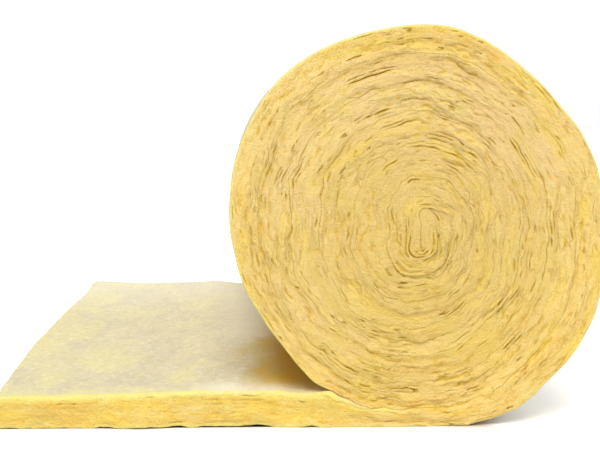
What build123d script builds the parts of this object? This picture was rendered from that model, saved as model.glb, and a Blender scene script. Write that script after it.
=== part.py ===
"""Glass wool insulation blanket, wound into a roll and lying on its side, with its free end
rolled out flat along the floor.

The whole thing is one soft blanket. Its cut edge shows on both ends of the roll as a spiral of
crowned turns round a folded core. X runs across the roll, Y along its axis and Z up. The origin
is on the floor, under the roll's axis, halfway along it.
"""

from build123d import *
from math import sqrt
import os

# Driving dimensions in millimetres
blanket_width = 1200.0        # cut width of the blanket, which is the length of the roll
blanket_thickness = 50.0      # loose thickness, as on the rolled-out tongue
roll_width = 567.0            # across the turns, level with the core
core_fold = 43.0              # straight part of the folded core, which makes the roll taller
tongue_length = 500.0         # free end, from its cut edge to the crease against the roll
floor_sag = 17.5              # how far the roll's weight presses its lowest turn flat
turns = 6                     # full turns round the core

# The free tongue
end_top_radius = 16.0         # softened upper corner of the cut end
end_floor_radius = 9.0        # softened lower corner of the cut end
rim_radius = 12.0             # softened upper edges along the two sides of the tongue
lift_height = 7.0             # the tongue springs up off the floor beside the roll
lift_length = 210.0           # length of the stretch that is off the floor
lift_gap = 34.0               # from the crease to the near end of that stretch
crease_rise = 3.0             # the tongue swells where the roll comes down on it

# The cut edge of each turn, as seen on the two ends of the roll
seam_depth = 16.0             # depth of the crease between two turns
crown_width = 14.0            # how much of a turn's edge is rounded down into the crease
crown_radius = 160.0          # radius of that rounding
cutter_overrun = 5.0          # how far the cutter stands outside the face that it cuts

# Half turns make the winding: the upper ones share one centre, the lower ones another, which is
# half a pitch to the side, so that each half turn runs smoothly into the next
turn_pitch = roll_width / (2 * turns + 1)
top_radius = roll_width / 2
bottom_radius = top_radius + turn_pitch / 2
landing_radius = bottom_radius - turn_pitch
bottom_centre_x = -turn_pitch / 2
bottom_centre_z = bottom_radius - floor_sag
top_centre_z = bottom_centre_z + core_fold

# Where the roll leaves the floor, and where its second turn lands on the tongue
contact_x = bottom_centre_x + sqrt(bottom_radius**2 - bottom_centre_z**2)
crease_z = blanket_thickness + crease_rise
crease_x = bottom_centre_x - sqrt(landing_radius**2 - (bottom_centre_z - crease_z) ** 2)
cut_end_x = crease_x - tongue_length
lift_end_x = crease_x - lift_gap
lift_start_x = lift_end_x - lift_length
lift_middle_x = (lift_start_x + lift_end_x) / 2

near_end = Plane.XZ.offset(blanket_width / 2)


def add_turn(turn):
    """Draw one turn of the seam: up the right side, over the top and down the left side.

    A turn other than the innermost goes on under the core, to the foot of the next one.
    """
    side_x = top_radius - turn * turn_pitch
    Line((side_x, bottom_centre_z), (side_x, top_centre_z))
    CenterArc((0, top_centre_z), side_x, 0, 180)
    Line((-side_x, top_centre_z), (-side_x, bottom_centre_z))
    if turn < turns:
        CenterArc((bottom_centre_x, bottom_centre_z), side_x - turn_pitch / 2, 180, 180)


def is_rim(edge):
    """Tell whether an edge of the tongue's side is on its top or its cut end, off the floor."""
    middle = edge.center()
    return middle.X < lift_end_x and middle.Z > lift_height + end_floor_radius


# The crease between the turns: a notch with crowned flanks, carried along the whole winding
with BuildPart() as seam_cutter:
    with BuildLine(near_end):
        first_arc = RadiusArc((contact_x, 0), (top_radius, bottom_centre_z), -bottom_radius)
        for turn in range(turns + 1):
            add_turn(turn)
    with BuildSketch(Plane(origin=first_arc @ 0, x_dir=(0, 1, 0), z_dir=first_arc % 0)):
        with BuildLine():
            RadiusArc((0, -crown_width), (seam_depth, 0), crown_radius)
            RadiusArc((seam_depth, 0), (0, crown_width), crown_radius)
            Polyline(
                (0, crown_width),
                (-cutter_overrun, crown_width),
                (-cutter_overrun, -crown_width),
                (0, -crown_width),
            )
        make_face()
    sweep()

# The free tongue, from its cut end to the crease, with its rims softened
with BuildPart() as tongue:
    with BuildSketch(Plane.XZ) as tongue_view:
        with BuildLine():
            ThreePointArc(
                (crease_x, crease_z),
                (lift_middle_x, blanket_thickness + lift_height),
                (cut_end_x, blanket_thickness),
            )
            Line((cut_end_x, blanket_thickness), (cut_end_x, 0))
            Line((cut_end_x, 0), (lift_start_x, 0))
            ThreePointArc((lift_start_x, 0), (lift_middle_x, lift_height), (lift_end_x, 0))
            Line((lift_end_x, 0), (crease_x, 0))
            Line((crease_x, 0), (crease_x, crease_z))
        make_face()
        fillet(tongue_view.vertices().group_by(Axis.X)[0].sort_by(Axis.Y)[-1], end_top_radius)
        fillet(tongue_view.vertices().group_by(Axis.X)[0].sort_by(Axis.Y)[0], end_floor_radius)
    extrude(amount=blanket_width / 2, both=True)
    fillet(tongue.faces().filter_by(Axis.Y).edges().filter_by(is_rim), rim_radius)

# The roll on its pressed foot, joined to the tongue, with the seam cut into both ends
with BuildPart() as glass_wool_blanket:
    with BuildSketch(Plane.XZ):
        with BuildLine():
            RadiusArc((contact_x, 0), (top_radius, bottom_centre_z), -bottom_radius)
            Line((top_radius, bottom_centre_z), (top_radius, top_centre_z))
            CenterArc((0, top_centre_z), top_radius, 0, 180)
            Line((-top_radius, top_centre_z), (-top_radius, bottom_centre_z))
            RadiusArc((-top_radius, bottom_centre_z), (crease_x, crease_z), -landing_radius)
            Polyline((crease_x, crease_z), (crease_x, 0), (contact_x, 0))
        make_face()
    extrude(amount=blanket_width / 2, both=True)
    add(tongue.part)
    add(seam_cutter.part, mode=Mode.SUBTRACT)
    mirror(seam_cutter.part, about=Plane.XZ, mode=Mode.SUBTRACT)

glass_wool_blanket.part.label = "glass_wool_blanket"
os.makedirs("parts", exist_ok=True)
export_step(glass_wool_blanket.part, "parts/glass_wool_blanket.step")
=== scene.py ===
"""Looks of the glass wool roll: one soft yellow blanket, wound up on its side with its free end
rolled out flat. The blanket's cut edge is worked out unrolled, as a long thin strip of wool
layers, and then wound into the spiral that shows on the roll's two ends.
"""

import math

import bmesh
import bpy
import numpy as np
from mathutils import Euler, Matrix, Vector


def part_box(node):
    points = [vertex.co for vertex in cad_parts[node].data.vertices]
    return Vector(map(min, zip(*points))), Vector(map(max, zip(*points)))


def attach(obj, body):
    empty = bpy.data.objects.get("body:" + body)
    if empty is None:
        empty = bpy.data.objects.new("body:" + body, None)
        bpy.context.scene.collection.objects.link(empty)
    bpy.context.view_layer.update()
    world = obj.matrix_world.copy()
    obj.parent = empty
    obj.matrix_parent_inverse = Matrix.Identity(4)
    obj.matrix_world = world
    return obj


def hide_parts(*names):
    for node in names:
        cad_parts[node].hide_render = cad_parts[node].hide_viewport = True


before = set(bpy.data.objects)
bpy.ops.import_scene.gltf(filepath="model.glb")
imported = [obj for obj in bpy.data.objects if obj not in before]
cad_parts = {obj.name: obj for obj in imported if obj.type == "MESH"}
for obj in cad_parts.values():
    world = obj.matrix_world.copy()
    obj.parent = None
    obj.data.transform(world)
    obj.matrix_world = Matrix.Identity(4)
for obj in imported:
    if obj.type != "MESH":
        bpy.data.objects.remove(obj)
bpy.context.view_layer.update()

NODE = "glass_wool_blanket"
node_low, node_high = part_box(NODE)

# Units
MM = 0.001

# The winding, in metres, from the frame and the solid's own driving sizes. The lift alone is
# lower than the solid's, as it shows.
TURNS = 6
THICKNESS = 50 * MM
FLOOR_SAG = 17.5 * MM    # how far the roll's weight presses its lowest turn flat
CREASE_RISE = 3 * MM     # how much the tongue swells where the roll comes down on it
LIFT_HEIGHT = 2.4 * MM   # how far the tongue springs up off the floor, and along what stretch
LIFT_LENGTH = 210 * MM
LIFT_GAP = 34 * MM       # from the crease to the near end of that stretch
roll_radius = node_high.x
half_width = node_high.y
pitch = 2 * roll_radius / (2 * TURNS + 1)
foot_radius = roll_radius + pitch / 2
low_centre_x = -pitch / 2
low_centre_z = foot_radius - FLOOR_SAG
high_centre_z = node_high.z - roll_radius
contact_x = low_centre_x + math.sqrt(foot_radius**2 - low_centre_z**2)
landing_radius = foot_radius - pitch
crease_z = THICKNESS + CREASE_RISE
crease_x = low_centre_x - math.sqrt(landing_radius**2 - (low_centre_z - crease_z) ** 2)
free_end_x = node_low.x

# Each straight side of the folded core takes this share of one turn
SIDE_SHARE = 0.025

# The mesh of the cut edge: wool layers, rows in each layer, and the length of one column
LAYERS = 8
LAYER_ROWS = 4
ROWS = LAYERS * LAYER_ROWS
COLUMN_STEP = 4.0 * MM
SKIN_STATIONS = 38       # rows of the mesh along the roll's width, from cut edge to cut edge


# Noise

MASK, TOP = 0xFFFFFFFF, 0xFFFFFF
LATTICE_FACTORS = (374761393, 668265263, 1442695041, 974634777)   # large and odd, to mix well
SHUFFLES = ((13, 1274126177), (16, 1103515245))
LAST_SHIFT = 13


def hashed(ix, iy, iz, seed):
    """One number from 0 to 1 for each lattice point: whole numbers mixed by multiply and shift."""
    h = sum(a * factor for a, factor in zip((ix, iy, iz, seed), LATTICE_FACTORS)) & MASK
    for shift, factor in SHUFFLES:
        h = ((h ^ (h >> shift)) * factor) & MASK
    return ((h ^ (h >> LAST_SHIFT)) & TOP) / TOP


def noise(x, y, z=0.0, seed=0):
    """Value noise from -1 to 1: hashed lattice values blended by 6t^5 - 15t^4 + 10t^3 each way."""
    x, y, z = np.broadcast_arrays(x, y, z)
    cell = [np.floor(a).astype(np.int64) for a in (x, y, z)]
    t = [a - c for a, c in zip((x, y, z), cell)]
    t = [a * a * a * (a * (a * 6 - 15) + 10) for a in t]
    total = np.zeros(x.shape)
    for i in (0, 1):
        for j in (0, 1):
            for k in (0, 1):
                weight = (t[0] if i else 1 - t[0]) * (t[1] if j else 1 - t[1])
                weight = weight * (t[2] if k else 1 - t[2])
                total += weight * hashed(cell[0] + i, cell[1] + j, cell[2] + k, seed)
    return total * 2 - 1


def layered(x, y, z=0.0, seed=0, octaves=3):
    """Sum of noise at doubled scales, each half as strong as the last, about -1 to 1."""
    total, strength = 0.0, 1.0
    for octave in range(octaves):
        scale = 2.0**octave
        total = total + strength * noise(x * scale, y * scale, z * scale, seed + 31 * octave)
        strength = strength / 2
    return total / (2 - 2 * strength)


def smooth(low, high, x):
    """0 below low, 1 above high and 3t^2 - 2t^3 between them."""
    t = np.clip((x - low) / (high - low), 0, 1)
    return t * t * (3 - 2 * t)


# The winding

def seam_point(q):
    """Place on the spiral seam after q turns inwards from the roll's right side.

    Each turn is a straight side, a half circle round the upper centre, a straight side and a
    half circle round the lower centre. Sides come in by one pitch a turn.
    """
    turn = np.floor(q)
    f = q - turn
    side = roll_radius - turn * pitch
    over = math.pi * (f - SIDE_SHARE) / (0.5 - SIDE_SHARE)
    under = math.pi + math.pi * (f - 0.5 - SIDE_SHARE) / (0.5 - SIDE_SHARE)
    rise = f / SIDE_SHARE
    fall = (f - 0.5) / SIDE_SHARE
    span = high_centre_z - low_centre_z
    part = [f < SIDE_SHARE, f < 0.5, f < 0.5 + SIDE_SHARE]
    x = np.select(
        part,
        [side, side * np.cos(over), -side],
        low_centre_x + (side - pitch / 2) * np.cos(under),
    )
    z = np.select(
        part,
        [
            low_centre_z + rise * span,
            high_centre_z + side * np.sin(over),
            high_centre_z - fall * span,
        ],
        low_centre_z + (side - pitch / 2) * np.sin(under),
    )
    return x, z


# The winding's stages, in turns inwards from the crease
crease_angle = math.atan2(crease_z - low_centre_z, crease_x - low_centre_x) % math.tau
crease_turn = 0.5 + SIDE_SHARE + (0.5 - SIDE_SHARE) * (crease_angle - math.pi) / math.pi
fold_turn = TURNS + 0.5 + SIDE_SHARE
wound = fold_turn - crease_turn
CAP_OPENING = math.radians(12)   # how far the core's round top stays open at its middle
last_stage = wound + 3
FINE_STAGES = 60001      # stages at which the blanket's length is measured

LEAN_LENGTH = 120 * MM   # stretch of the tongue in which its layers turn from leaning to upright
TOP_SWELL = 4 * MM       # how far the tongue's upper face swells towards the roll
SWELL_START, SWELL_FULL, SWELL_END = 60 * MM, 300 * MM, 150 * MM
RISE_LENGTH = 60 * MM    # stretch over which the tongue climbs or drops
lift_end_x = crease_x - LIFT_GAP
lift_start_x = lift_end_x - LIFT_LENGTH


def underside(x):
    """Height of the tongue's underside: one lift height between two smooth slopes, else 0."""
    up = smooth(lift_start_x, lift_start_x + RISE_LENGTH, x)
    return LIFT_HEIGHT * up * (1 - smooth(lift_end_x - RISE_LENGTH, lift_end_x + RISE_LENGTH, x))


def tongue_faces(back):
    """Outer (lower) and inner (upper) face of the tongue, back metres from the crease.

    The upper face is the underside plus the thickness, climbs by the crease's rise, and swells
    smoothly between two slopes. The lower face leans back by as much as the layers under the
    roll do, fading with distance.
    """
    x = crease_x - back
    near_crease = 1 - smooth(0, RISE_LENGTH, back)
    top = THICKNESS + underside(x) * (1 - near_crease) + CREASE_RISE * near_crease
    swell = smooth(free_end_x + SWELL_START, free_end_x + SWELL_FULL, x)
    top = top + TOP_SWELL * swell * smooth(0, SWELL_END, back)
    lean = (low_centre_x - crease_x) * low_centre_z / (low_centre_z - crease_z)
    lean = lean - (low_centre_x - crease_x)
    foot = x - lean * (1 - smooth(0, LEAN_LENGTH, back))
    return foot, underside(foot), x, top


def faces_at(stage):
    """Places of the blanket's outer and inner face, as x, z, x, z, at each stage of the winding.

    Stage -1 is the free end and 0 the crease. From there one stage is one turn inwards: the
    inner face is on the seam at crease_turn + stage and the outer face one turn before it, or
    on the foot's arc or the floor under the roll. After the fold point come the fold (a half
    circle about it), the core's straight slab and its round top, one stage each.
    """
    turn = np.clip(crease_turn + stage, crease_turn, fold_turn)
    in_x, in_z = seam_point(turn)
    out_x, out_z = seam_point(np.maximum(turn - 1, 0))
    angle = np.arctan2(in_z - low_centre_z, in_x - low_centre_x)
    floor_reach = low_centre_z / np.maximum(-np.sin(angle), 1e-6)
    reach = np.where(np.cos(angle) < 0, floor_reach, np.minimum(foot_radius, floor_reach))
    foot_x, foot_z = low_centre_x + reach * np.cos(angle), low_centre_z + reach * np.sin(angle)
    tongue = tongue_faces(np.clip(-stage, 0, 1) * (crease_x - free_end_x))
    bend = math.pi * (1 + np.clip(stage - wound, 0, 1))
    slab_z = low_centre_z + np.clip(stage - wound - 1, 0, 1) * (high_centre_z - low_centre_z)
    cap = np.clip(stage - wound - 2, 0, 1) * (math.pi / 2 - CAP_OPENING)
    half = pitch / 2
    cap_x, cap_z = half * np.cos(cap), high_centre_z + half * np.sin(cap)
    still = np.zeros_like(stage)
    part = [stage < 0, turn < 1, stage < wound, stage < wound + 1, stage < wound + 2]
    return (
        np.select(part, [tongue[0], foot_x, out_x, low_centre_x + pitch * np.cos(bend),
                         still + half], cap_x),
        np.select(part, [tongue[1], foot_z, out_z, low_centre_z + pitch * np.sin(bend),
                         slab_z], cap_z),
        np.select(part, [tongue[2], in_x, in_x, still + low_centre_x, still - half], -cap_x),
        np.select(part, [tongue[3], in_z, in_z, still + low_centre_z, slab_z], cap_z),
    )


def even_stages():
    """Stages of the winding, and lengths along its middle line, in even steps of one column."""
    stage = np.linspace(-1, last_stage, FINE_STAGES)
    out_x, out_z, in_x, in_z = faces_at(stage)
    steps = np.hypot(np.diff(out_x + in_x), np.diff(out_z + in_z)) / 2
    length = np.concatenate([[0], np.cumsum(steps)])
    columns = 2 * round(length[-1] / COLUMN_STEP / 2)
    along = np.linspace(0, length[-1], columns + 1)
    return np.interp(along, length, stage), along


# The roll's outline as it was wound by hand: how far its outermost face stands out from the
# even winding, in millimetres, at even steps round the hub, counted from +X by way of +Z
HUB_Z = 306 * MM
OUTLINE_PUSH = (
    5, 0, -1, -7, -13, -14, -12, -7, -3, -4, -6, -4,
    -1, 2, 2, 0, 0, -1, -2, -9, -13, -19, -18.5, -11,
    -3, 0, 2, 3, 6, 16, 12, 11, 14, 15, 13, 10,
)
PUSH_REACH = 1.1         # share of the roll's radius at which the push stops growing
CREASE_SLIDE = 10 * MM   # how far the wool about the crease lies to +X of the even winding
SLIDE_SPREAD = 90 * MM
FAR_PULL = 9 * MM        # how much tighter the far end is wound
CORE_SHIFT, CORE_DROP = 27 * MM, 14 * MM   # how far the core lies to +X and below the middle
CORE_SPREAD = 125 * MM
WANDER = 3.5 * MM        # how far the turns wander to and fro, in long waves
WANDER_LENGTH = 46 * MM
CORE_WANDER = 0.9        # how much more they wander at the core
RIPPLE = 1.3 * MM        # the same in short waves
RIPPLE_LENGTH = 17 * MM
RIM_BAND = (0.78, 0.97)  # shares of the roll's radius between which the wandering dies down
RIM_CALM = 0.85          # how much of it is gone at the rim
FREE_HEIGHT = 2 * MM     # height over the floor above which points may move up and down


def outline_push(x, z):
    """Push of the outline at the angle of each point: the cubic through the four nearest steps."""
    step = np.arctan2(z - HUB_Z, x) % math.tau / math.tau * len(OUTLINE_PUSH)
    first = np.floor(step).astype(int) % len(OUTLINE_PUSH)
    pushes = np.array(OUTLINE_PUSH) * MM
    t = step - np.floor(step)
    a, b, c, d = (pushes[(first + k) % len(OUTLINE_PUSH)] for k in (-1, 0, 1, 2))
    return b + t / 2 * (c - a + t * (2 * a - 5 * b + 4 * c - d + t * (3 * (b - c) + d - a)))


def settle(x, z, pull):
    """Moves the winding's points from the even winding to the uneven one.

    A point moves along its own radius from the hub by the outline's push at its angle, less the
    pull, times the square of its share of the roll's radius. The core moves to +X and down by a
    bell curve of the distance from the hub. The wool low about the crease slides to +X by a bell
    curve of the distance from it. Both coordinates then wander by noise of x and z, less towards
    the outline. The tongue gets only the slide. The push moves nothing up or down on the floor
    nor, on the tongue's side of the hub, within the tongue's thickness.
    """
    far = np.hypot(x, z - HUB_Z)
    share = np.clip(far / roll_radius, 0, PUSH_REACH)
    push = (outline_push(x, z) - pull) * share**2 / np.maximum(far, MM)
    wound_up = smooth(crease_x - RISE_LENGTH, crease_x, x + z)
    tongue_side = 1 - smooth(-2.5 * THICKNESS, 0, x)
    loose = smooth(FREE_HEIGHT, THICKNESS, z) * (1 - tongue_side)
    loose = (loose + smooth(THICKNESS, 2.2 * THICKNESS, z) * tongue_side) * wound_up
    slide = np.exp(-(((x - crease_x) / SLIDE_SPREAD) ** 2))
    slide = slide * (1 - smooth(THICKNESS, 3 * THICKNESS, z))
    bell = np.exp(-((far / CORE_SPREAD) ** 2))
    rim = smooth(*RIM_BAND, far / roll_radius) * smooth(THICKNESS, 2 * THICKNESS, z)
    free = smooth(FREE_HEIGHT, 0.6 * THICKNESS, z) * wound_up * (1 - RIM_CALM * rim)
    moved = []
    for seed in (71, 73):
        wander = WANDER * noise(x / WANDER_LENGTH, z / WANDER_LENGTH, seed=seed)
        wander = wander + RIPPLE * noise(x / RIPPLE_LENGTH, z / RIPPLE_LENGTH, seed=seed + 1)
        moved.append(wander * free * (1 + CORE_WANDER * bell))
    new_x = x + x * push * wound_up + CORE_SHIFT * bell + CREASE_SLIDE * slide + moved[0]
    return new_x, z + (z - HUB_Z) * push * loose - CORE_DROP * bell + moved[1]


END_BOW = 16 * MM        # how far the middle of the free end stands out past its corners
END_BOW_LENGTH = 150 * MM
END_SWAY, END_SWAY_LENGTH = 2.5 * MM, 170 * MM
END_FRAY, END_FRAY_WIDTH, END_FRAY_HEIGHT = 1.5 * MM, 24 * MM, 20 * MM
FOOT_FRAY, FOOT_FRAY_LENGTH, FOOT_FRAY_WIDTH = 4 * MM, 26 * MM, 40 * MM
FAR_PUFF, FAR_CORNER_PUFF = 0.1, 0.14    # how much thicker the far edge and its corner are
PUFF_WIDTH, CORNER_LENGTH = 130 * MM, 160 * MM
PUFF_END = (190 * MM, 120 * MM)          # distances from the crease between which it dies down
# The lip that is pulled out of the near cut edge's foot, and how deep it reaches into the wool
LIP_X, LIP_SPREAD, LIP_REACH, LIP_LIFT = -425 * MM, 50 * MM, 11 * MM, 3 * MM
LIP_DEPTH = 40 * MM


def fray_tongue(point):
    """Makes the tongue uneven.

    The free end bows outwards by a parabola of y plus noise. The far edge and its corner get
    thicker. A lip comes out of the near cut edge's foot, a little above the floor, by a bell
    curve of x that fades upwards. The underside goes up and down by noise, but not below the
    floor.
    """
    x, y, z = point[..., 0], point[..., 1], point[..., 2]
    bow = END_BOW * (1 - (y / half_width) ** 2)
    bow = bow + END_SWAY * noise(y / END_SWAY_LENGTH, 0.5, seed=61)
    bow = bow + END_FRAY * layered(y / END_FRAY_WIDTH, z / END_FRAY_HEIGHT, seed=63)
    tongue = 1 - smooth(crease_x - PUFF_END[0], crease_x - PUFF_END[1], x)
    tongue = tongue * (z < 2 * THICKNESS)
    corner = 1 - smooth(free_end_x, free_end_x + CORNER_LENGTH, x)
    puff = (FAR_PUFF + FAR_CORNER_PUFF * corner) * smooth(half_width - PUFF_WIDTH, half_width, y)
    z = z * (1 + puff * tongue)
    x = x - bow * (1 - smooth(0, END_BOW_LENGTH, x - free_end_x))
    lip = np.exp(-(((x - LIP_X) / LIP_SPREAD) ** 2)) * (1 - smooth(0, THICKNESS, z))
    lip = lip * (1 - smooth(0, LIP_DEPTH, y + half_width))
    y = y - LIP_REACH * lip
    z = z + LIP_LIFT * lip
    ragged = FOOT_FRAY * layered(x / FOOT_FRAY_LENGTH, y / FOOT_FRAY_WIDTH, seed=67)
    foot = (x < crease_x) * (1 - smooth(0, THICKNESS / 3, z))
    return np.stack([x, y, np.maximum(z + ragged * foot, 0)], axis=-1)


# The cut edge

LAYER_DRIFT = 1.5 * MM      # how far a layer's border wanders across the thickness
DRIFT_LENGTH = 60 * MM
DRIFT_RIPPLES = ((0.7, 14 * MM), (0.4, 7 * MM))   # shorter waves of it: share and length
BORDERS_APART, CREVICES_APART = 7.31, 3.17        # how far apart in the noise borders are read
CREVICE_HALF = 0.6 * MM     # half width of a crevice between two layers
CREVICE_HALF_LENGTH = 20 * MM
CREVICE_DEPTH = 1.7 * MM
CREVICE_LENGTH = 21 * MM
CREVICE_CUT = (0.1, 0.7)        # values of the noise between which a crevice opens fully
CRACK_DEPTH = 5 * MM        # depth of the few cracks, which are crevices that gape
CRACK_LENGTH, CRACK_CUT = 30 * MM, (0.42, 0.6)
BREAK_LENGTH, BREAK_CUT = 9 * MM, (-0.9, 0.0)   # of the waves that break the cracks up
# Height of the torn wool's waves, and their length along and across the layers
WAVES = (
    (2.6 * MM, 240 * MM, 13 * MM),
    (2.4 * MM, 110 * MM, 7 * MM),
    (1.8 * MM, 38 * MM, 4.6 * MM),
    (1.5 * MM, 10 * MM, 3.2 * MM),
)
# How far those waves stray across the layers, and the strays' length along and across them
WARPS = (
    (4.0 * MM, 40 * MM, 26 * MM),
    (2.6 * MM, 15 * MM, 12 * MM),
    (1.4 * MM, 7 * MM, 7 * MM),
)
FOLD_DEPTH, FOLD_LENGTH, FOLD_WIDTH = 2.0 * MM, 150 * MM, 9 * MM   # of the long sharp folds
PATCH_LENGTH, PATCH_WIDTH = 65 * MM, 30 * MM    # of the places that have some
FOLD_CUT, PATCH_CUT = (0.72, 1.0), (-0.1, 0.4)
CRUMBLE_LENGTH = 60 * MM    # size of the places where the wool is torn roughly or less so
CRUMBLE_LEAST, CRUMBLE_CUT = 0.35, (-0.3, 0.5)
TONGUE_CALM = 0.36          # how much flatter the torn wool is on the tongue
CALM_TURNS = (0.3, 1.1)     # turns between which that calm gives way to the roll's roughness
CORE_TOP_X, CORE_TOP_Z = 14 * MM, 332 * MM      # the core's round top, which is flatter too
CORE_TOP_REACH_X, CORE_TOP_REACH_Z = 30 * MM, 17 * MM
CORE_CALM = 0.75
FLOOR_PROUD = 4 * MM        # how far the lowest layer stands out beside the landing
LANDING_START = (-0.12, 0.0)    # stages between which that begins and ends
LANDING_END = (0.06, 0.16)
LUMP, LUMP_LENGTH = 1.2 * MM, 34 * MM
CORE_ARMS = 330 * MM        # height up to which the folded core's layers gape
CORE_ARMS_FADE = 30 * MM
CORE_PLY, CORE_PLY_SPREAD = 0.6, 0.1    # share of the thickness at which they do
CORE_START = (-0.25, -0.1)      # stages from the fold between which they start and stop gaping
CORE_END = (1.5, 2)
# Where the turns gape most: the crack's middle as x and z, and half its length, in millimetres
CRACKS = (
    (-186, 375, 36), (-68, 536, 46), (-56, 516, 26), (-66, 474, 32), (-30, 462, 28),
    (-44, 399, 20), (60, 431, 58), (40, 425, 34), (162, 412, 44), (196, 504, 40),
    (22, 273, 20), (-6, 262, 18), (26, 333, 34), (208, 300, 36), (62, 180, 24), (-16, 57, 26),
    (-100, 92, 30), (150, 130, 22),
)
CRACK_SPREAD = 3.2 * MM
CRACK_BELL = 1.6            # height of the bell across a crack, which is cut off at 1
CHANCE_CRACK = 0.6          # strength of the cracks that noise adds to the named ones
CRACK_BESIDE = 0.75         # how dark the painted shade in the rows beside a crack is
TURN_STEP = 1.5 * MM        # how far parts of the winding stand behind or before each other
TURN_STEP_WIDTH = 60 * MM
RIM_ROUND = 5 * MM          # rounding of the edge between the cut edge and the outer face
FOOT_ROUND = 2.5 * MM       # the same where that edge stands on the floor
SEAM_ROUND = 4 * MM
SEAM_STRAY = 2.2 * MM       # how far the turns' borders wave to and fro
SEAM_STRAYS = ((SEAM_STRAY, 24 * MM), (SEAM_STRAY / 2, 10 * MM))   # and how long the waves are
SEAM_DEPTH = 1.6 * MM
SEAM_WAVES = 9              # waves of its depth in one turn
SEAM_CUT = (0.1, 0.8)
SEAM_SHOWN = (-0.02, 0.04)  # turns about the crease between which the outer face becomes a seam
SEAM_TONE = 0.68            # how dark the painted shade in a seam is, on the scale of the hollows
LANDING_VALLEY = 0.1        # how much deeper the seam is beside the landing
SEAM_GAP = 0.03 * MM        # half of the gap between two turns
FOLD_ROUND = 0.15 * MM      # radius of the empty fold point
FOLD_STAGES = 0.75          # stages before and after the fold over which that gap opens
END_TOP_ROUND = 5 * MM
END_FOOT_ROUND = 5 * MM
END_REACH = 40 * MM         # length of the tongue's end in which the columns bend
PITS = 75
PIT_DEPTH = 4.5 * MM
PIT_FIRST_COLUMN = 150      # columns without a pit at the free end
PIT_BESIDE = 0.6            # strength of a pit in the row beside it
BLUR_COLUMNS, BLUR_ROWS = 3, 3
HOLLOW_SCALE = 3.1 * MM     # depth below its surroundings at which a point's painted shade has tone 1
HOLLOW_MOST = 0.6           # darkest painted shade of a hollow that is neither a pit nor a crack
BORDER_ROWS = slice(LAYER_ROWS, -1, LAYER_ROWS)   # the rows at the borders between layers


def rounding(distance, radius):
    """Depth of a quarter round of that radius at a distance from the edge: 0 past the radius."""
    rest = np.clip(radius - distance, 0, radius)
    return radius - np.sqrt(np.maximum(radius**2 - rest**2, 0))


def layer_rows(along, seed):
    """Share of the thickness at each column and row, from the outer face (0) to the inner (1).

    The border between layers lies at its even share plus noise of the length along. The row
    before a border and the row after it stay a crevice's half width away, and the layer's
    middle row lies halfway between its two outer rows.
    """
    border = np.arange(LAYERS + 1)[None, :] * BORDERS_APART
    length = along[:, None]
    drift = layered(length / DRIFT_LENGTH, border, seed=seed)
    for order, (strength, wave) in enumerate(DRIFT_RIPPLES):
        drift = drift + strength * noise(length / wave, border, seed=seed + 5 + order)
    drift[:, [0, LAYERS]] = 0
    place = np.arange(LAYERS + 1)[None, :] / LAYERS + drift * LAYER_DRIFT / THICKNESS
    share = np.zeros((along.size, ROWS + 1))
    half = 1.3 + noise(length / CREVICE_HALF_LENGTH, border + 3.3, seed=seed)
    half = CREVICE_HALF / THICKNESS * half
    share[:, ::LAYER_ROWS] = place
    share[:, 1::LAYER_ROWS] = place[:, :-1] + half[:, :-1]
    share[:, 3::LAYER_ROWS] = place[:, 1:] - half[:, 1:]
    share[:, 2::LAYER_ROWS] = (share[:, 1::LAYER_ROWS] + share[:, 3::LAYER_ROWS]) / 2
    return share


def gaping(x, z):
    """How far a place gapes, from 0 to 1: the largest of the named cracks there.

    Each crack is a bell curve of the distance across it, measured from the hub, cut off at 1,
    and fades out at its two ends.
    """
    far, angle = np.hypot(x, z - HUB_Z), np.arctan2(z - HUB_Z, x)
    most = np.zeros_like(x)
    for crack_x, crack_z, reach in CRACKS:
        crack_x, crack_z = crack_x * MM, crack_z * MM - HUB_Z
        crack_far = math.hypot(crack_x, crack_z)
        turned = (angle - math.atan2(crack_z, crack_x) + math.pi) % math.tau - math.pi
        bell = CRACK_BELL * np.exp(-(((far - crack_far) / CRACK_SPREAD) ** 2))
        inside = 1 - smooth(0.5, 1, np.abs(turned) * crack_far / (reach * MM))
        most = np.maximum(most, np.minimum(bell, 1) * inside)
    return most


def torn_wool(depth, x, z, across, flat, crumble, seed):
    """Depth of the cut edge with the torn wool's steps, waves and folds added.

    Waves are noise of x, z and of the place across the winding, so that they are long along the
    layers and go on over the seams. Folds are sharp where such noise crosses zero.
    """
    depth = depth + TURN_STEP * layered(across / TURN_STEP_WIDTH, 0.5, seed=seed + 8)
    for order, (height, wave, width) in enumerate(WAVES):
        torn = noise(x / wave, z / wave, across / width, seed=seed + 40 + order)
        depth = depth + height * torn * (crumble if order else flat)
    fold = noise(x / FOLD_LENGTH, z / FOLD_LENGTH, across / FOLD_WIDTH, seed=seed + 51)
    fold = smooth(*FOLD_CUT, 1 - np.abs(fold))
    patch = noise(x / PATCH_LENGTH, z / PATCH_LENGTH, across / PATCH_WIDTH, seed=seed + 52)
    return depth + FOLD_DEPTH * fold * smooth(*PATCH_CUT, patch) * flat


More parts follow.
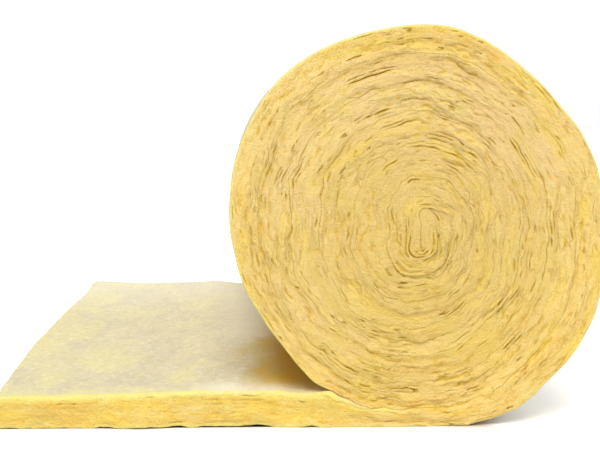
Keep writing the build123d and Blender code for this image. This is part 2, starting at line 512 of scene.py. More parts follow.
def cracked(stage, along, share, x, z, flat, side, seed):
    """How far each border between layers is a crack, from 0 to 1, at each column.

    Cracks are noise of the length along, cut off below. The near end has the named cracks too,
    and the gaping layers of the core.
    """
    length = along[:, None]
    border = np.arange(1, LAYERS)[None, :] * CREVICES_APART
    crack = smooth(*CRACK_CUT, layered(length / CRACK_LENGTH, border, seed=seed + 4))
    if side < 0:
        crack = np.maximum(CHANCE_CRACK * crack, gaping(x, z)[:, BORDER_ROWS])
        core = smooth(*CORE_START, stage - wound) * (1 - smooth(*CORE_END, stage - wound))
        ply = np.exp(-(((share - CORE_PLY) / CORE_PLY_SPREAD) ** 2))[:, BORDER_ROWS]
        low = 1 - smooth(CORE_ARMS - CORE_ARMS_FADE, CORE_ARMS, z)[:, BORDER_ROWS]
        crack = np.maximum(crack, core[:, None] * ply * low)
    whole = smooth(*BREAK_CUT, noise(length / BREAK_LENGTH, border, seed=seed + 12))
    return crack * whole * flat[:, BORDER_ROWS]


def relief(stage, along, share, x, z, side, seed):
    """Depth of the cut edge behind its flat plane, how far each point is a crack or a seam, as the
    tone of its painted shade, and its warped place across the winding, at each column and row.

    The depth is the sum of the torn wool, lumps, crevices and cracks at the borders between
    layers, rounded valleys at the seams and a round outer rim. The wool is flatter on the
    tongue and at the core's top. The place across is one pitch for each turn, plus the share of
    the thickness, strayed by noise.
    """
    length = along[:, None]
    border = np.arange(1, LAYERS)[None, :] * CREVICES_APART
    turn = crease_turn + np.clip(stage, -1, wound)
    across = pitch * ((turn - 1)[:, None] + share)
    crumble = layered(x / CRUMBLE_LENGTH, z / CRUMBLE_LENGTH, seed=seed + 9, octaves=2)
    crumble = CRUMBLE_LEAST + (1 - CRUMBLE_LEAST) * smooth(*CRUMBLE_CUT, crumble)
    flat = 1 - TONGUE_CALM * (1 - smooth(*CALM_TURNS, across / pitch))
    arch = ((x - CORE_TOP_X) / CORE_TOP_REACH_X) ** 2 + ((z - CORE_TOP_Z) / CORE_TOP_REACH_Z) ** 2
    flat = flat * (1 - CORE_CALM * np.exp(-arch))
    crumble = crumble * flat
    for order, (height, wave, width) in enumerate(WARPS):
        stray = noise(x / wave, z / wave, across / width, seed=seed + 60 + order)
        across = across + height * stray
    depth = LUMP * layered(x / LUMP_LENGTH, z / LUMP_LENGTH, seed=seed + 6)
    landing = smooth(*LANDING_START, stage) * (1 - smooth(*LANDING_END, stage))
    depth = depth - FLOOR_PROUD * landing[:, None]
    depth = torn_wool(depth, x, z, across, flat, crumble, seed)

    minor = smooth(*CREVICE_CUT, layered(length / CREVICE_LENGTH, border, seed=seed + 3))
    minor = minor * crumble[:, BORDER_ROWS]
    crack = cracked(stage, along, share, x, z, flat, side, seed)
    depth[:, BORDER_ROWS] += np.maximum(minor * CREVICE_DEPTH, crack * CRACK_DEPTH)
    # The gape is a tone of painted shade: full at a crack, less in the rows beside it, and the
    # seam's tone where a turn lies against the next.
    gape = np.zeros_like(share)
    gape[:, BORDER_ROWS] = crack
    for beside in (-1, 1):
        rows = slice(LAYER_ROWS + beside, ROWS, LAYER_ROWS)
        gape[:, rows][:, : crack.shape[1]] = CRACK_BESIDE * crack

    outer_gap, inner_gap = share * THICKNESS, (1 - share) * THICKNESS
    for gap, seam, row in ((outer_gap, turn - 1, 0), (inner_gap, turn, -1)):
        free = (1 - smooth(*SEAM_SHOWN, seam - crease_turn))[:, None]
        valley = smooth(*SEAM_CUT, layered(seam * SEAM_WAVES, 2.5, seed=seed + 10))
        valley = valley + LANDING_VALLEY * (1 - smooth(*LANDING_END, seam - crease_turn))
        rim = np.where(z < THICKNESS / 3, FOOT_ROUND, RIM_ROUND)
        depth = depth + free * rounding(gap, rim)
        valley = (1 - free) * valley[:, None] * rounding(gap, SEAM_ROUND) / SEAM_ROUND
        depth = depth + valley * SEAM_DEPTH
        gape[:, row] = SEAM_TONE * (1 - free)[:, 0]
    return depth, gape, across


def blurred(values):
    """Mean of each value's neighbours in a box of BLUR_COLUMNS and BLUR_ROWS each way."""
    for axis, reach in ((0, BLUR_COLUMNS), (1, BLUR_ROWS)):
        pad = [(0, 0), (0, 0)]
        pad[axis] = (reach + 1, reach)
        total = np.cumsum(np.pad(values, pad, mode="edge"), axis=axis)
        high, low = [slice(None)] * 2, [slice(None)] * 2
        high[axis], low[axis] = slice(2 * reach + 1, None), slice(None, -2 * reach - 1)
        values = (total[tuple(high)] - total[tuple(low)]) / (2 * reach + 1)
    return values


def pits(depth, seed):
    """Marks random points of the cut edge as pits: their size there, and less beside them."""
    pick = np.random.default_rng(seed)
    marks = np.zeros_like(depth)
    column = pick.integers(PIT_FIRST_COLUMN, depth.shape[0] - 4, PITS)
    row = pick.integers(2, ROWS - 2, PITS)
    size = pick.uniform(0.5, 1, PITS)
    marks[column, row] = size
    marks[column + 1, row] = size * pick.uniform(0.2, 1, PITS)
    marks[column, row + 1] = size * PIT_BESIDE
    return marks


def wound_seam(stage, inner):
    """1 where a face of the blanket lies against the next turn, and 0 where it shows."""
    seam = stage if inner else stage - 1
    return (smooth(0, 0.03, seam) * (1 - smooth(wound - 1.1, wound - 1, seam)))[:, None]


def cut_edge(stage, along, side, seed):
    """One cut edge, on side -1 or 1: its points as an array columns x rows x 3, the share of the
    thickness, the hollows' tone, which the material paints as shade, and the place across the
    winding at each.

    Rows run straight between the outer and the inner face, which wave to and fro where they are
    seams. Columns bend at the tongue's free end, so that its two corners are round. A hollow's
    tone is its depth below the mean of its neighbours; the material paints it as shade, and a
    raised point's tone as highlight. Pits, cracks and seams get a darker tone of painted shade.
    """
    out_x, out_z, in_x, in_z = (a[:, None] for a in faces_at(stage))
    share = layer_rows(along, seed)
    fold = 1 - np.abs(np.clip(stage - wound - 0.5, -FOLD_STAGES, FOLD_STAGES)) / FOLD_STAGES
    low_gap = np.where(stage > 0, SEAM_GAP / pitch, 0)[:, None]
    high_gap = low_gap + (smooth(0, 0.33, fold) * FOLD_ROUND / pitch)[:, None]
    line = low_gap + share * (1 - low_gap - high_gap)
    x = out_x + (in_x - out_x) * line
    z = out_z + (in_z - out_z) * line
    width = np.hypot(in_x - out_x, in_z - out_z)
    for reach, wave in SEAM_STRAYS:
        for face, place_x, place_z in ((1 - share, out_x, out_z), (share, in_x, in_z)):
            stray = reach * noise(place_x / wave, place_z / wave, seed=77) * face**3
            stray = stray * wound_seam(stage, face is share)
            x = x + (in_x - out_x) / width * stray
            z = z + (in_z - out_z) / width * stray
    bent = 1 - smooth(0, END_REACH, x - free_end_x)
    corner = rounding((1 - share) * THICKNESS, END_TOP_ROUND)
    corner = corner + rounding(share * THICKNESS, END_FOOT_ROUND)
    x = x + bent * corner
    x, z = settle(x, z, FAR_PULL if side > 0 else 0)
    sink, gape, across = relief(stage, along, share, x, z, side, seed)
    marks = pits(sink, seed)
    sink = sink + marks * PIT_DEPTH
    # Tone of painted shade: pits, cracks and seams by their marks, other hollows by their depth,
    # and raised points below 0 for painted highlight.
    marks = np.maximum(marks, gape)
    hollow = np.clip((sink - blurred(sink)) / HOLLOW_SCALE, -1, HOLLOW_MOST)
    point = np.stack([x, side * (half_width - sink), z], axis=-1)
    return point, share, np.maximum(hollow, marks), across


# The whole blanket

SKIN_EDGE = (4 * MM, 12 * MM)   # rows of the mesh close behind each rim, from the rim's end
SKIN_SHARES = (0.025, 0.975)    # shares of the width between which the other rows lie
SKIN_WAVE = 3.5 * MM            # height of the slow waves in the two flat faces
SKIN_WAVE_LENGTH, SKIN_WAVE_WIDTH = 110 * MM, 150 * MM
SKIN_FUZZ = 0.9 * MM            # height of the fine unevenness
SKIN_FUZZ_LENGTH, SKIN_FUZZ_WIDTH = 16 * MM, 24 * MM
RIM_FADE = 0.02                 # share of the width over which both begin behind a rim
VEIL_MOST = 0.5
VEIL_WRAP = 0.15                # share of the thickness over which the veil ends on a cut edge
END_VEIL = 0.6                  # how much of the veil the cut free end has
OUTER_SHOWN, INNER_SHOWN = 1.03, 0.03   # stages up to which the two flat faces show


def join_even(first, second):
    """Triangles between two rows of points, the first with twice as many steps as the second."""
    a, b, c = first[:-1:2], first[1::2], first[2::2]
    d, e = second[:-1], second[1:]
    return np.concatenate([np.stack(t, -1) for t in ((a, b, d), (b, e, d), (b, c, e))])


def join_grid(grid):
    """Squares between the neighbours of a grid of point numbers, as two triangles each."""
    a, b, c, d = grid[:-1, :-1], grid[1:, :-1], grid[1:, 1:], grid[:-1, 1:]
    return np.concatenate([np.stack(t, -1).reshape(-1, 3) for t in ((a, b, c), (a, c, d))])


def skin(near, far, outward, flat, seed):
    """Points of one flat face between its near and far rim, as an array columns x stations x 3.

    Each station is the straight line from the near rim's point to the far rim's. It is moved
    outwards by slow waves and fine fuzz, which fade to nothing at both rims, but not into the
    floor.
    """
    share = np.concatenate([
        [e / (2 * half_width) for e in SKIN_EDGE],
        np.linspace(*SKIN_SHARES, SKIN_STATIONS),
        [1 - e / (2 * half_width) for e in SKIN_EDGE[::-1]],
    ])[None, :, None]
    line = near[:, None] + (far - near)[:, None] * share
    y = line[..., 1]
    fade = smooth(0, RIM_FADE, share[..., 0]) * smooth(0, RIM_FADE, 1 - share[..., 0])
    along = flat[:, None]
    wave = SKIN_WAVE * layered(along / SKIN_WAVE_LENGTH, y / SKIN_WAVE_WIDTH, seed=seed)
    fuzz = SKIN_FUZZ * layered(along / SKIN_FUZZ_LENGTH, y / SKIN_FUZZ_WIDTH, seed=seed + 1)
    line = line + ((wave + fuzz) * fade)[..., None] * outward[:, None]
    line[..., 2] = np.maximum(line[..., 2], 0)
    return line


def outward_of(here, there):
    """Unit vectors from there to here in the x, z plane, for each column."""
    away = (here - there) * np.array([1, 0, 1])
    return away / np.maximum(np.linalg.norm(away, axis=-1, keepdims=True), 1e-9)


def veil(stage, share):
    """How far the pale veil wraps over the cut edge's rims, from 0 to VEIL_MOST.

    It fades within VEIL_WRAP of the outer face of the tongue and the last turn, and within two
    and a half times that of the tongue's upper face, faster at first.
    """
    outer = (1 - smooth(0, VEIL_WRAP, share)) * (stage < 1)[:, None]
    upper = smooth(1 - 2.5 * VEIL_WRAP, 1, share) ** 1.5 * (1 - smooth(0.03, 0.12, stage))[:, None]
    return VEIL_MOST * np.maximum(outer, upper)


class Grids:
    """The points of a mesh that is put together from grids, and their attributes."""

    def __init__(self):
        self.count = 0
        self.points = []
        self.values = {"laid": [], "across": [], "hollow": [], "skin": []}

    def add(self, grid, along, depth, **values):
        """Adds a grid of points and gives their numbers.

        The place on the unrolled blanket is the length along it, the depth in its thickness and
        the point's own y.
        """
        shape = grid.shape[:2]
        laid = [np.broadcast_to(a, shape) for a in (along, depth, grid[..., 1])]
        self.points.append(grid.reshape(-1, 3))
        self.values["laid"].append(np.stack(laid, -1).reshape(-1, 3))
        for key, value in values.items():
            self.values[key].append(np.broadcast_to(value, shape).ravel())
        first = self.count
        self.count += shape[0] * shape[1]
        return np.arange(first, self.count).reshape(shape)


def add_mesh(name, grids, faces, material):
    """A closed, smooth mesh object of the grids' points, frayed, with its faces outwards."""
    mesh = bpy.data.meshes.new(name)
    points = fray_tongue(np.concatenate(grids.points))
    mesh.from_pydata(points.tolist(), [], np.concatenate(faces).tolist())
    for key, parts in grids.values.items():
        values = np.concatenate(parts)
        kind, slot = ("FLOAT", "value") if values.ndim == 1 else ("FLOAT_VECTOR", "vector")
        layer = mesh.attributes.new(key, kind, "POINT")
        layer.data.foreach_set(slot, values.ravel())
    mesh.shade_smooth()
    mesh.materials.append(material)
    piece = bpy.data.objects.new(name, mesh)
    bpy.context.scene.collection.objects.link(piece)
    turned = bmesh.new()
    turned.from_mesh(mesh)
    bmesh.ops.recalc_face_normals(turned, faces=turned.faces)
    turned.to_mesh(mesh)
    turned.free()
    return piece


def blanket():
    """The closed blanket: two cut edges, and the flat faces and the free end between them.

    The far cut edge and the flat faces have half as many columns as the near cut edge. Where
    the flat faces lie against each other inside the roll, they run straight from rim to rim.
    """
    stage, along = even_stages()
    near, share, hollow, across = cut_edge(stage, along, -1, 11)
    far_edge = cut_edge(stage, along, 1, 211)
    far, far_share, far_hollow, far_across = (a[::2, ::2] for a in far_edge)
    half_along = along[::2, None]
    grids = Grids()
    near_id = grids.add(near, along[:, None], share * THICKNESS,
                        across=across, hollow=hollow, skin=veil(stage, share))
    far_id = grids.add(far, half_along, far_share * THICKNESS,
                       across=far_across, hollow=far_hollow, skin=veil(stage[::2], far_share))
    faces = [join_grid(near_id), join_grid(far_id)]

    end_ids = {}
    for row, last_shown, depth, seed in (
        (0, OUTER_SHOWN, 0.0, 31), (-1, INNER_SHOWN, THICKNESS, 37)
    ):
        shown = int(np.searchsorted(stage[::2], last_shown))
        outward = outward_of(far[:shown, row], far[:shown, -1 - row])
        panel = skin(near[: 2 * shown : 2, row], far[:shown, row], outward,
                     half_along[:shown, 0], seed)
        ids = grids.add(panel, half_along[:shown], depth,
                        across=far_across[:shown, [row]], hollow=0.0, skin=1.0)
        faces.append(join_grid(np.concatenate([ids, far_id[:shown, [row]]], axis=1)))
        faces.append(join_even(near_id[: 2 * shown - 1, row], ids[:, 0]))
        # The panel's last border closes as a fan to the near rim's next point
        last = 2 * (shown - 1)
        chain = np.concatenate([[near_id[last, row]], ids[-1], [far_id[shown - 1, row]]])
        tip = np.full(chain.size - 1, near_id[last + 1, row])
        faces.append(np.stack([tip, chain[1:], chain[:-1]], -1))
        rest = join_even(near_id[last:, row], far_id[shown - 1 :, row])
        faces.append(np.delete(rest, 0, axis=0))
        end_ids[row] = ids[0]

    inner = far[0, 1:-1]
    depth = far_share[0, 1:-1, None] * THICKNESS
    outward = np.tile([-1.0, 0.0, 0.0], (inner.shape[0], 1))
    start = skin(near[0, 2:-2:2], inner, outward, depth[:, 0], 41)
    ids = grids.add(start, 0.0, depth, across=far_across[0, 1:-1, None], hollow=0.0, skin=END_VEIL)
    ids = np.concatenate([end_ids[0][None], ids, end_ids[-1][None]])
    faces.append(join_grid(np.concatenate([ids, far_id[0][:, None]], axis=1)))
    faces.append(join_even(near_id[0], ids[:, 0]))
    faces.append(join_even(near_id[-1], far_id[-1]))
    return add_mesh("wool_blanket", grids, faces, wool())


# Materials

def srgb(red, green, blue):
    """Linear colour from screen values of 0 to 255: ((c + 0.055) / 1.055)^2.4 above 0.04045."""
    out = []
    for value in (red, green, blue):
        c = value / 255
        out.append(c / 12.92 if c <= 0.04045 else ((c + 0.055) / 1.055) ** 2.4)
    return (*out, 1.0)


class Nodes:
    """Short ways to add nodes to one material or world and to wire them."""

    def __init__(self, owner, output="OutputMaterial"):
        self.owner = owner
        owner.use_nodes = True
        self.tree = owner.node_tree
        self.tree.nodes.clear()
        self.output = self.add(output)

    def put(self, socket, value):
        """Sets a socket, or wires an output into it."""
        if isinstance(value, bpy.types.NodeSocket):
            self.tree.links.new(value, socket)
        else:
            socket.default_value = value

    def add(self, kind, settings=None, **inputs):
        """A node of that kind, with its settings and its inputs by their names."""
        node = self.tree.nodes.new("ShaderNode" + kind)
        for key, value in (settings or {}).items():
            setattr(node, key, value)
        for key, value in inputs.items():
            self.put(node.inputs[key.replace("_", " ")], value)
        return node

    def attribute(self, name, output="Fac"):
        """An attribute of the mesh's points."""
        return self.add("Attribute", {"attribute_name": name}).outputs[output]

    def parts(self, vector):
        """The three parts of a vector, each by its name."""
        return self.add("SeparateXYZ", Vector=vector).outputs

    def noise(self, vector, scale, place=(0, 0, 0), detail=3.0, rough=0.55, distortion=0.0):
        """Noise of the vector times a scale, or one scale for each part, moved by the place."""
        scale = scale if isinstance(scale, tuple) else (scale, scale, scale)
        mapping = self.add("Mapping", Vector=vector, Scale=scale, Location=place)
        node = self.add("TexNoise", Vector=mapping.outputs["Vector"], Scale=1.0, Detail=detail,
                        Roughness=rough, Distortion=distortion)
        return node.outputs["Fac"]

    def torn(self, vector, across, wave, width, place=0.0, detail=3.0, rough=0.55, distortion=0.0):
        """Noise that is wave metres long along the layers and width metres across them."""
        node = self.add("TexNoise", {"noise_dimensions": "4D"}, Vector=vector, Scale=1 / wave,
                        Detail=detail, Roughness=rough, Distortion=distortion)
        self.put(node.inputs["W"], self.math("MULTIPLY_ADD", across, wave / width, place))
        return node.outputs["Fac"]

    def span(self, value, low, high, to_low=0.0, to_high=1.0):
        """Value from low..high to to_low..to_high, smooth at both ends."""
        node = self.add("MapRange", {"interpolation_type": "SMOOTHSTEP"}, Value=value,
                        From_Min=low, From_Max=high, To_Min=to_low, To_Max=to_high)
        return node.outputs["Result"]

    def math(self, operation, *values):
        """The values put through one operation."""
        node = self.add("Math", {"operation": operation})
        for socket, value in zip(node.inputs, values):
            self.put(socket, value)
        return node.outputs["Value"]

    def product(self, first, *others):
        """The values multiplied one after the other."""
        for other in others:
            first = self.math("MULTIPLY", first, other)
        return first

    def swing(self, noise, reach):
        """Noise about 0 instead of 0.5, times reach."""
        return self.product(self.math("SUBTRACT", noise, 0.5), reach)

    def mix(self, factor, first, second):
        """A colour on the way from the first to the second."""
        node = self.add("Mix", {"data_type": "RGBA"})
        self.put(node.inputs[0], factor)
        self.put(node.inputs[6], first)
        self.put(node.inputs[7], second)
        return node.outputs[2]

    def tinted(self, colour, tints):
        """A colour after a row of tints, each given as target, guide, low, high, most and mask.

        A tint grows with its guide, smoothly from nothing at low to most at high, or in
        proportion where there is no low and no high, and is then multiplied by its mask.
        """
        for target, guide, low, high, most, mask in tints:
            if low is None:
                factor = self.product(guide, most)
            else:
                factor = self.span(guide, low, high, 0, most)
            if mask is not None:
                factor = self.product(factor, mask)
            colour = self.mix(factor, colour, target)
        return colour

    def eye(self):
        """1 for rays that carry the camera's own view, straight, mirrored or through glass."""
        path = self.add("LightPath").outputs
        seen = self.math("MAXIMUM", path["Is Camera Ray"], path["Is Glossy Ray"])
        return self.math("MAXIMUM", seen, path["Is Transmission Ray"])


WOOL_BASE = srgb(234, 203, 123)
WOOL_DULL = srgb(228, 197, 114)
WOOL_ROSY = srgb(240, 204, 142)
WOOL_GLOW = srgb(250, 218, 136)
WOOL_BRIGHT = srgb(246, 213, 96)
WOOL_AMBER = srgb(238, 190, 86)
# Deep tone of the wool, also its painted shade in the bump's lows and in hollows
WOOL_DEEP_AND_SHADE = srgb(224, 182, 68)
WOOL_FRESH = srgb(232, 208, 112)
WOOL_LEFT = srgb(238, 212, 142)
WOOL_INNER = srgb(224, 193, 112)
WOOL_GOLD = srgb(240, 206, 104)
# Crest tone of the wool, also its painted highlight on the bump's highs and on raised points
WOOL_CREST_AND_HIGHLIGHT = srgb(246, 220, 146)
WOOL_PALE = srgb(243, 213, 154)
WOOL_STRAW = srgb(233, 207, 100)
# Painted shade in splits, and then in pits, cracks and seams
WOOL_CLEFT_SHADE = srgb(190, 146, 52)
WOOL_PIT_SHADE = srgb(176, 122, 34)
SKIN_PALE = srgb(213, 204, 174)
SKIN_YELLOW = srgb(227, 219, 159)
SKIN_GREY = srgb(203, 195, 171)
# White threads and far side of the veil, also its painted light beside the roll
SKIN_WHITE_AND_LIGHT = srgb(240, 236, 220)
# Dusky threads of the veil, also its painted shade beside and under the roll
SKIN_DUSK_AND_SHADE = srgb(198, 172, 100)
# Pale rim where the veil ends on a cut edge, partly painted light against the rounded edge's shade
SKIN_RIM_AND_LIGHT = srgb(248, 232, 138)
# Golden painted shade under the roll, nearest the contact
SKIN_SHADE = srgb(220, 176, 74)
SHEEN_TINT = srgb(255, 214, 110)
BUMP_WOOL, BUMP_VEIL, BUMP_HEIGHT = 1.0, 0.5, 4 * MM
TONGUE_TO = (0.6, 0.52)     # lengths along the blanket, in metres, between which the tongue ends
ROOF_FROM = (2.0, 2.3)      # lengths from which on the inner face is hidden in the roll and painted as shade
SCATTER = (1.0, 0.6, 0.2)   # how far red, green and blue light spreads in the wool


def cut_wool(n, solid, laid, across, hollow, tongue, streak, clump, split):
    """Colour of the cut edges.

    Broad tones follow the place in the roll, and the cut edge is paler towards the top and right
    as painted light. Patches, bands, flecks and streaks are noise, most of it long along the
    layers. Where the bump's streaks and clumps are low, in splits and in hollows the colour turns
    darker and more orange as painted shade; where streaks are high and on raised points it turns
    lighter as painted highlight.
    """
    x, z = (n.parts(solid)[name] for name in "XZ")
    early = n.span(across, 1.6 * pitch, 0.7 * pitch)
    tone = n.torn(solid, across, 90 * MM, 18 * MM, 3.1, detail=2, rough=0.5)
    patch = n.torn(solid, across, 80 * MM, 15 * MM, 0.7, detail=2, rough=0.5)
    band = n.torn(solid, across, 260 * MM, 11 * MM, 6.4, detail=1.5, rough=0.5)
    fleck = n.torn(solid, across, 24 * MM, 6 * MM, 5.3, detail=3, rough=0.6)
    shade = n.noise(solid, 14, (0.3, 0.9, 0.1), detail=2)
    amber = n.noise(solid, 11, (4.3, 1.9, 2.1), detail=3, rough=0.6)
    hue = n.noise(solid, 28, (3.3, 0.2, 1.7), detail=2)
    # Painted light: paler towards the top, and a little towards the right
    painted_top_light = n.math("MULTIPLY_ADD", x, 0.25, z)
    golden = n.math("SUBTRACT", x, z)
    lively = n.math("ADD", tone, n.product(early, 0.06))
    glowing = n.math("ADD", amber, n.product(early, 0.08))
    level = n.product(n.parts(laid)["Y"], tongue)
    colour = n.tinted(WOOL_BASE, (
        (WOOL_DULL, shade, 0.4, 0.62, 1, None),
        (WOOL_ROSY, patch, 0.5, 0.62, 1, n.span(tongue, 0, 1, 0.6, 0.15)),
        (WOOL_PALE, painted_top_light, 0.15, 0.5, 0.6, None),
        (WOOL_FRESH, hue, 0.5, 0.66, 0.5, None),
        (WOOL_ROSY, hue, 0.5, 0.34, 0.4, None),
        (WOOL_LEFT, x, -0.08, -0.24, 0.55, n.span(z, 0.1, 0.2)),
        (WOOL_CREST_AND_HIGHLIGHT, band, 0.5, 0.68, 0.5, None),
        (WOOL_DEEP_AND_SHADE, band, 0.48, 0.32, 0.25, None),
        (WOOL_INNER, across, 2.5 * pitch, 4.5 * pitch, 0.5, None),
        (WOOL_GOLD, golden, -0.25, 0.1, 0.35, None),
        (WOOL_GLOW, early, None, None, 1, n.span(tongue, 0, 1, 0.6, 0.1)),
        (WOOL_STRAW, tongue, None, None, 0.5, None),
        (WOOL_BRIGHT, level, 0.5 * THICKNESS, 0.95 * THICKNESS, 0.45, None),
        (WOOL_BRIGHT, lively, 0.54, 0.67, 1, n.span(early, 0, 1, 0.35, 0.7)),
        (WOOL_AMBER, glowing, 0.6, 0.76, 0.45, None),
        (WOOL_AMBER, fleck, 0.5, 0.66, 0.6, early),
        (WOOL_CREST_AND_HIGHLIGHT, fleck, 0.47, 0.34, 0.6, early),
    ))
    # Painted highlight and painted shade after the bump's streaks and clumps, its splits and the
    # hollows' tone
    return n.tinted(colour, (
        (WOOL_CREST_AND_HIGHLIGHT, streak, 0.5, 0.78, 0.45, None),
        (WOOL_DEEP_AND_SHADE, streak, 0.48, 0.28, 0.35, None),
        (WOOL_DEEP_AND_SHADE, clump, 0.48, 0.3, 0.1, None),
        (WOOL_CLEFT_SHADE, split, None, None, 0.35, None),
        (WOOL_CREST_AND_HIGHLIGHT, hollow, -0.1, -0.7, 0.5, None),
        (WOOL_DEEP_AND_SHADE, hollow, 0.02, 0.55, 0.85, None),
        (WOOL_PIT_SHADE, hollow, 0.62, 0.95, 0.85, None),
    ))


def veiled(n, solid, laid, tongue):
    """Colour of the pale veil on the flat faces.

    It is grey and yellow in blotches, with white and dusky threads. It is whiter far from the
    near edge. Beside the roll and in a strip along the near rim there it is whiter as painted
    light against the roll's shade, and it is dusky to golden as painted shade beside and under
    the roll, where that tone's border is a fringe of noise.
    """
    y, length = n.parts(solid)["Y"], n.parts(laid)["X"]
    cover = n.noise(laid, (20, 30, 9), (1.7, 0, 4.1), detail=6, rough=0.7, distortion=0.5)
    blotch = n.noise(laid, (11, 30, 6.5), (0.4, 0, 2.2), detail=6, rough=0.72, distortion=0.5)
    thread = n.noise(laid, (85, 60, 60), (2.4, 0, 0.2), detail=4, rough=0.75, distortion=0.4)
    fringe = n.noise(laid, (16, 60, 5), (5.4, 0, 1.2), detail=5, rough=0.65)
    thin = n.math("ADD", blotch, n.span(length, 0.3, 0.0, 0, 0.14))
    depth = n.math("ADD", y, n.swing(cover, 0.12))
    reach = n.math("ADD", length, n.swing(fringe, 0.16))
    close = n.span(depth, -half_width + 0.02, -half_width + 0.1)
    close = n.product(close, tongue, n.span(depth, -0.1, -0.26))
    # Masks of painted shade under the roll, with the roof hidden inside the roll in the same tone
    roof = n.span(length, *ROOF_FROM)
    below = n.math("MAXIMUM", n.product(close, n.span(reach, 0.35, 0.42)), roof)
    deeper = n.math("MAXIMUM", n.product(close, n.span(reach, 0.39, 0.45)), roof)
    # Masks of painted light against the roll's shade, in a strip along the near rim and further
    # back beside the roll, and of painted shade beside the roll
    strip = n.product(n.span(length, 0.27, 0.36), tongue)
    beyond = n.product(n.span(length, 0.3, 0.42), tongue)
    shaded = n.product(n.span(reach, 0.36, 0.47), tongue)
    return n.tinted(SKIN_PALE, (
        (SKIN_GREY, cover, 0.42, 0.6, 1, None),
        (SKIN_YELLOW, thin, 0.44, 0.74, 0.65, None),
        (SKIN_WHITE_AND_LIGHT, thread, 0.5, 0.72, 0.55, None),
        (SKIN_WHITE_AND_LIGHT, y, 0.0, half_width, 0.4, tongue),
        (SKIN_DUSK_AND_SHADE, thread, 0.48, 0.3, 0.4, None),
        (SKIN_YELLOW, depth, -half_width + 0.05, -half_width, 0.6, tongue),
        # Painted light against the roll's shade, then painted shade beside and under the roll
        (SKIN_WHITE_AND_LIGHT, depth, -half_width + 0.1, -half_width + 0.02, 0.7, strip),
        (SKIN_WHITE_AND_LIGHT, depth, -0.3, -0.1, 0.7, beyond),
        (SKIN_DUSK_AND_SHADE, depth, 0.15, -0.2, 0.6, shaded),
        (SKIN_DUSK_AND_SHADE, below, None, None, 0.8, None),
        (SKIN_SHADE, deeper, None, None, 0.9, None),
    ))


def wool():
    """Glass wool: yellow streaked layers on the cut edges, and a pale veil on the flat faces.

    The veil's border on a cut edge is broken up by clumps and has a bright rim, partly its own
    pale colour and partly painted light against the shade of the rounded edge. Streaks, clumps,
    grain, fibres and splits make the bump.
    """
    n = Nodes(bpy.data.materials.new("glass_wool"))
    laid = n.attribute("laid", "Vector")
    across, hollow, skinned = (n.attribute(name) for name in ("across", "hollow", "skin"))
    solid = n.add("TexCoord").outputs["Object"]
    tongue = n.span(n.parts(laid)["X"], *TONGUE_TO)
    streak = n.torn(solid, across, 13 * MM, 2.7 * MM, 1.9, detail=4, rough=0.7, distortion=0.8)
    clump = n.noise(solid, 120, detail=3, rough=0.6, distortion=0.6)
    grain = n.noise(solid, 330, detail=2, rough=0.6)
    fibre = n.noise(solid, 700, detail=3, rough=0.7)
    contour = n.torn(solid, across, 40 * MM, 8 * MM, 8.2, detail=1.5, rough=0.5, distortion=0.3)
    contour = n.span(n.math("ABSOLUTE", n.math("SUBTRACT", contour, 0.5)), 0.04, 0.0)
    some = n.span(n.noise(solid, 30, (2.3, 1.4, 0.6), detail=2), 0.5, 0.62)
    split = n.product(contour, some, n.span(tongue, 0, 1, 1, 0.4))

    colour = cut_wool(n, solid, laid, across, hollow, tongue, streak, clump, split)
    # The veil's bright rim on the cut edges, partly painted light against the shade of the rounded
    # edge
    edging = n.product(n.span(skinned, 0.02, 0.45), n.span(skinned, 0.9, 0.7))
    cover = n.math("ADD", skinned, n.swing(clump, 0.8))
    colour = n.tinted(colour, (
        (SKIN_RIM_AND_LIGHT, edging, None, None, 0.8, None),
        (veiled(n, solid, laid, tongue), cover, 0.35, 0.85, 1, None),
        (WOOL_CREST_AND_HIGHLIGHT, fibre, 0.35, 0.7, 0.12, None),
    ))

    height = n.product(streak, 0.8)
    for part, strength in ((fibre, 0.25), (clump, 0.5), (grain, 0.7), (split, -0.25)):
        height = n.math("ADD", height, n.product(part, strength))
    bump = n.add("Bump", Height=height, Distance=BUMP_HEIGHT,
                 Strength=n.span(skinned, 0.2, 1, BUMP_WOOL, BUMP_VEIL))
    shader = n.add("BsdfPrincipled", Base_Color=colour, Normal=bump.outputs["Normal"])
    for name, value in (
        ("Roughness", 0.95), ("Specular IOR Level", 0.0),
        ("Subsurface Weight", 0.15), ("Subsurface Radius", SCATTER), ("Subsurface Scale", 4 * MM),
        ("Sheen Weight", 0.1), ("Sheen Tint", SHEEN_TINT), ("Sheen Roughness", 0.6),
    ):
        shader.inputs[name].default_value = value
    n.put(n.output.inputs["Surface"], shader.outputs["BSDF"])
    return n.owner


FLOOR_GLOW = 0.38
# The floor's white, and the warm brown and dark that are painted shadow near and under the object
FLOOR_WHITE, FLOOR_WARM_SHADOW = (0.9, 0.9, 0.9, 1), (0.42, 0.3, 0.18, 1)
FLOOR_DARK_SHADOW = (0.1, 0.06, 0.03, 1)
GLOW_FROM = (-20 * MM, 160 * MM)    # distances from the object between which the glow comes
WARM_TO = (-20 * MM, 4 * MM)        # and between which the warm painted shadow goes
DARK_TO = (-6 * MM, 2 * MM)         # and the dark painted shadow, which is under the object only
WARM_FRONT = 12 * MM        # how far the warm painted shadow reaches before the roll's foot
WARM_SLOPE, WARM_SIDE = 0.35, -20 * MM      # it goes slower to the right of the roll


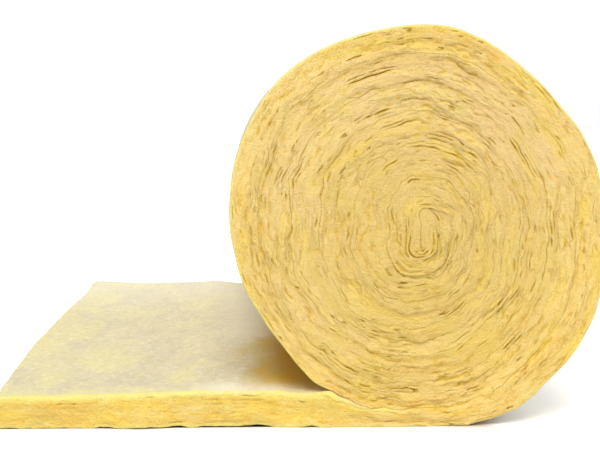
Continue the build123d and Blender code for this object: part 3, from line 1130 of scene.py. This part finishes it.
def white_floor():
    """A matt white floor that keeps shadows, and glows a little away from the object. Its colour
    is
    painted shadow near the object: warm brown by the roll's foot, the free end and the cut edges,
    and dark under the object.

    The distance from the object is the largest of those past its right foot, past the free end
    and past its cut edges.
    """
    n = Nodes(bpy.data.materials.new("floor_white"))
    x, y = (n.parts(n.add("TexCoord").outputs["Object"])[name] for name in "XY")
    right = n.math("SUBTRACT", x, contact_x)
    left = n.math("SUBTRACT", free_end_x, x)
    before = n.math("SUBTRACT", n.math("ABSOLUTE", y), half_width)
    outside = n.math("MAXIMUM", n.math("MAXIMUM", right, left), before)
    beside = n.span(x, 0, contact_x, 0, WARM_FRONT)
    touch = n.math("MAXIMUM", n.math("MULTIPLY_ADD", right, WARM_SLOPE, WARM_SIDE), left)
    touch = n.math("MAXIMUM", touch, n.math("SUBTRACT", before, beside))
    # Painted shadow: warm brown near the object, dark under it
    tint = n.mix(n.span(touch, *WARM_TO), FLOOR_WARM_SHADOW, FLOOR_WHITE)
    tint = n.mix(n.span(outside, *DARK_TO), FLOOR_DARK_SHADOW, tint)
    glow = n.product(n.eye(), n.span(outside, *GLOW_FROM, 0, FLOOR_GLOW))
    both = n.add("AddShader")
    n.put(both.inputs[0], n.add("BsdfDiffuse", Color=tint).outputs["BSDF"])
    n.put(both.inputs[1], n.add("Emission", Strength=glow).outputs["Emission"])
    n.put(n.output.inputs["Surface"], both.outputs["Shader"])
    return n.owner


# Pieces

def belongs(piece):
    """The piece moves with the one body and stands for the blanket, whose solid part it hides."""
    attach(piece, "root")
    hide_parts(NODE)


wool_blanket = blanket()
belongs(wool_blanket)


# Floor, light and camera

FLOOR_HALF = 40
WHITE = (1, 1, 1, 1)
WORLD_LIGHT = 0.56
SUN_LIGHT = 2.6
SUN_ANGLE = math.radians(32)
SUN_DIRECTION = (0.12, 0.62, -0.9)
SENSOR = 36
FOCAL_PX, IMAGE_WIDTH = 1109, 600
SHIFT_RIGHT = 0.0561
EYE = (-0.2723, -2.2604, 0.4547)
PITCH_DOWN = math.radians(4.97)
YAW_RIGHT = math.radians(1.6)

floor_mesh = bpy.data.meshes.new("floor")
corners = [(a * FLOOR_HALF, b * FLOOR_HALF, 0) for a, b in ((-1, -1), (1, -1), (1, 1), (-1, 1))]
floor_mesh.from_pydata(corners, [], [(0, 1, 2, 3)])
floor_mesh.materials.append(white_floor())
floor = bpy.data.objects.new("floor", floor_mesh)
bpy.context.scene.collection.objects.link(floor)

studio = Nodes(bpy.data.worlds.new("studio"), "OutputWorld")
backdrop = studio.add("MixShader")
light = studio.add("Background", Color=WHITE, Strength=WORLD_LIGHT)
seen = studio.add("Background", Color=WHITE, Strength=1.0)
for socket, value in zip(backdrop.inputs, (studio.eye(), light.outputs[0], seen.outputs[0])):
    studio.put(socket, value)
studio.put(studio.output.inputs["Surface"], backdrop.outputs[0])
bpy.context.scene.world = studio.owner

sun = bpy.data.lights.new("window", "SUN")
sun.energy = SUN_LIGHT
sun.angle = SUN_ANGLE
window = bpy.data.objects.new("window", sun)
window.rotation_euler = Vector(SUN_DIRECTION).to_track_quat("-Z", "Y").to_euler()
bpy.context.scene.collection.objects.link(window)

lens = bpy.data.cameras.new("camera")
lens.sensor_width = SENSOR
lens.lens = SENSOR * FOCAL_PX / IMAGE_WIDTH
lens.shift_x = SHIFT_RIGHT
camera = bpy.data.objects.new("camera", lens)
camera.location = EYE
camera.rotation_euler = Euler((math.pi / 2 - PITCH_DOWN, 0, -YAW_RIGHT))
bpy.context.scene.collection.objects.link(camera)
bpy.context.scene.camera = camera

bpy.context.scene.view_settings.view_transform = "Standard"
